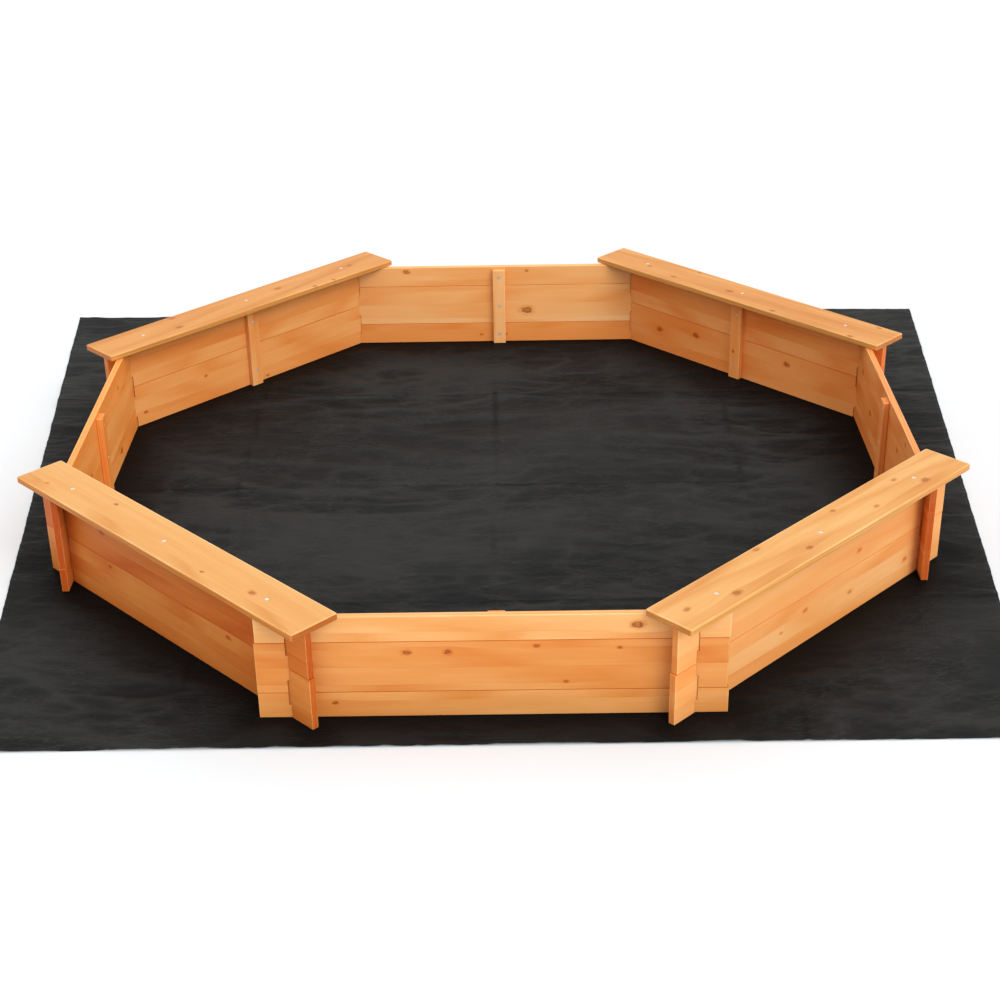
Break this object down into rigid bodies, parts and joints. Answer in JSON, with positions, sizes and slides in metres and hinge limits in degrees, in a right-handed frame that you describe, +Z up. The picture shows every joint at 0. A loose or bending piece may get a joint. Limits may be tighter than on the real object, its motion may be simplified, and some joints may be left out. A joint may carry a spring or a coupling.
{
  "type": "octagonal sandbox",
  "caption": "Octagonal timber sandbox of notched, stacked wall boards with plank seats on the diagonal walls, standing on a black ground sheet.",
  "frame": {"origin": "centre of the octagon, on the underside of the ground sheet", "axes": "+Z up; +X out through the right wall; -Y out through the front wall, the side the object is seen from"},
  "size_m": [2.1836, 1.9486, 0.2141],
  "materials": {
    "wall_board": "honey-stained fir, satin",
    "seat": "honey-stained fir, satin, lighter",
    "batten": "honey-stained fir, satin",
    "screw": "zinc-plated",
    "ground_sheet": "black woven polypropylene, slightly creased"
  },
  "bodies": {
    "root": {"right_lower_board": "wall_board", "right_middle_board": "wall_board", "right_upper_board": "wall_board", "batten_right": "batten", "batten_screw_right_1": "screw", "batten_screw_right_2": "screw", "batten_screw_right_3": "screw", "back_right_lower_board": "wall_board", "back_right_upper_board": "wall_board", "batten_back_right": "batten", "seat_back_right": "seat", "seat_screw_back_right_1": "screw", "seat_screw_back_right_2": "screw", "seat_screw_back_right_3": "screw", "back_lower_board": "wall_board", "back_middle_board": "wall_board", "back_upper_board": "wall_board", "batten_back": "batten", "batten_screw_back_1": "screw", "batten_screw_back_2": "screw", "batten_screw_back_3": "screw", "back_left_lower_board": "wall_board", "back_left_upper_board": "wall_board", "batten_back_left": "batten", "seat_back_left": "seat", "seat_screw_back_left_1": "screw", "seat_screw_back_left_2": "screw", "seat_screw_back_left_3": "screw", "left_lower_board": "wall_board", "left_middle_board": "wall_board", "left_upper_board": "wall_board", "batten_left": "batten", "batten_screw_left_1": "screw", "batten_screw_left_2": "screw", "batten_screw_left_3": "screw", "front_left_lower_board": "wall_board", "front_left_upper_board": "wall_board", "batten_front_left": "batten", "seat_front_left": "seat", "seat_screw_front_left_1": "screw", "seat_screw_front_left_2": "screw", "seat_screw_front_left_3": "screw", "front_lower_board": "wall_board", "front_middle_board": "wall_board", "front_upper_board": "wall_board", "batten_front": "batten", "batten_screw_front_1": "screw", "batten_screw_front_2": "screw", "batten_screw_front_3": "screw", "front_right_lower_board": "wall_board", "front_right_upper_board": "wall_board", "batten_front_right": "batten", "seat_front_right": "seat", "seat_screw_front_right_1": "screw", "seat_screw_front_right_2": "screw", "seat_screw_front_right_3": "screw", "ground_sheet": "ground_sheet"}
  },
  "joints": []
}
